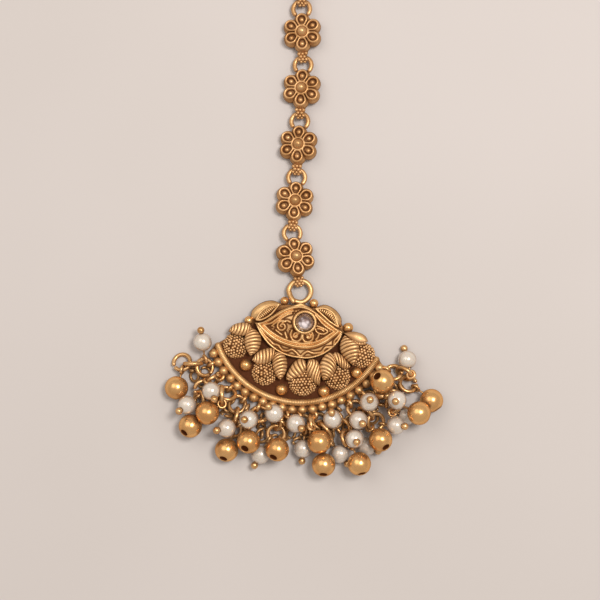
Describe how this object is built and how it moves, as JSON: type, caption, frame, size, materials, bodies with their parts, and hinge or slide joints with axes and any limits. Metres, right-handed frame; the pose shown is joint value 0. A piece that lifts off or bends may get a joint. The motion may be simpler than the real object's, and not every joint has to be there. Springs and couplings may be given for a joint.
{
  "type": "maang tikka",
  "caption": "Forehead ornament laid flat: a chain of cupped flower links with a hair hook, a half-moon pendant with a domed stone, and a fringe of gold balls and pearls on linked rings.",
  "frame": {"origin": "middle of the bounding box, on the surface the ornament lies on", "axes": "+Y from the pearl fringe to the hair hook, +X to the wearer's left as seen from the front, +Z out of the ornament's front"},
  "size_m": [0.0464, 0.1002, 0.0084],
  "materials": {
    "pendant_gold": "antique matt gold plate with dark brown patina in the recesses",
    "link_gold": "antique matt gold plate, brown in the cups",
    "ball_gold": "satin yellow gold plate, soft broad highlight",
    "wire_gold": "bright drawn gold wire",
    "hook_gold": "bright drawn gold wire",
    "pearl": "cream imitation pearl, soft lustre",
    "dark_stone": "dark grey-brown domed stone, polished"
  },
  "bodies": {
    "root": {"flower_link_1": "link_gold", "flower_link_2": "link_gold", "flower_link_3": "link_gold", "flower_link_4": "link_gold", "flower_link_5": "link_gold", "flower_link_6": "link_gold", "gold_ball_01": "ball_gold", "gold_ball_02": "ball_gold", "gold_ball_03": "ball_gold", "gold_ball_04": "ball_gold", "gold_ball_05": "ball_gold", "gold_ball_06": "ball_gold", "gold_ball_07": "ball_gold", "gold_ball_08": "ball_gold", "gold_ball_09": "ball_gold", "gold_ball_10": "ball_gold", "gold_ball_11": "ball_gold", "gold_ball_12": "ball_gold", "gold_ball_13": "ball_gold", "hair_hook": "hook_gold", "pearl_01": "pearl", "pearl_02": "pearl", "pearl_03": "pearl", "pearl_04": "pearl", "pearl_05": "pearl", "pearl_06": "pearl", "pearl_07": "pearl", "pearl_08": "pearl", "pearl_09": "pearl", "pearl_10": "pearl", "pearl_11": "pearl", "pearl_12": "pearl", "pearl_13": "pearl", "pearl_14": "pearl", "pearl_15": "pearl", "pearl_16": "pearl", "pearl_17": "pearl", "pearl_18": "pearl", "pearl_19": "pearl", "pendant": "pendant_gold", "stone": "dark_stone", "wires_01": "wire_gold", "wires_02": "wire_gold", "wires_03": "wire_gold", "wires_04": "wire_gold", "wires_05": "wire_gold", "wires_06": "wire_gold", "wires_07": "wire_gold", "wires_08": "wire_gold", "wires_09": "wire_gold", "wires_10": "wire_gold", "wires_11": "wire_gold", "wires_12": "wire_gold", "wires_13": "wire_gold", "wires_lone": "wire_gold"}
  },
  "joints": []
}
